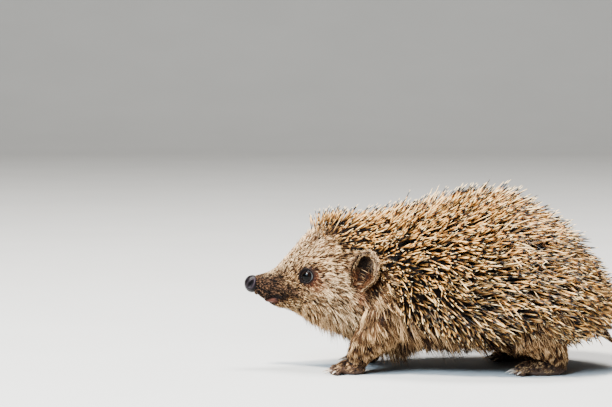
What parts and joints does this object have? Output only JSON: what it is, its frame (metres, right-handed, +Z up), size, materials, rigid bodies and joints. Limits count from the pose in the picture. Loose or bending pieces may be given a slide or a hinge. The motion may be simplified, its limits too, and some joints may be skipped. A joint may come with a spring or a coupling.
{
  "type": "hedgehog",
  "caption": "Life-size hedgehog standing on all fours with its pointed snout stretched forward, a coat of stiff spines over the back and long fur on the throat and flanks.",
  "frame": {"origin": "on the floor, under the middle of the overall bounding box", "axes": "the nose points along -X, +Y is the animal's right side, and +Z is up"},
  "size_m": [0.2408, 0.1296, 0.1156],
  "materials": {
    "fur": "matte short fur",
    "spines": "satin horn with dark bands",
    "ear_skin": "matte skin with short hair",
    "eye": "wet gloss",
    "nose": "moist satin"
  },
  "bodies": {
    "root": {"head": "fur", "neck": "spines", "torso_front": "spines", "torso_rear": "spines", "nose": "nose", "eye_left": "eye", "eye_right": "eye", "ear_left": "ear_skin", "ear_right": "ear_skin", "foreleg_left": "fur", "foreleg_right": "fur", "hindleg_left": "fur", "hindleg_right": "fur", "tail": "fur"}
  },
  "joints": []
}
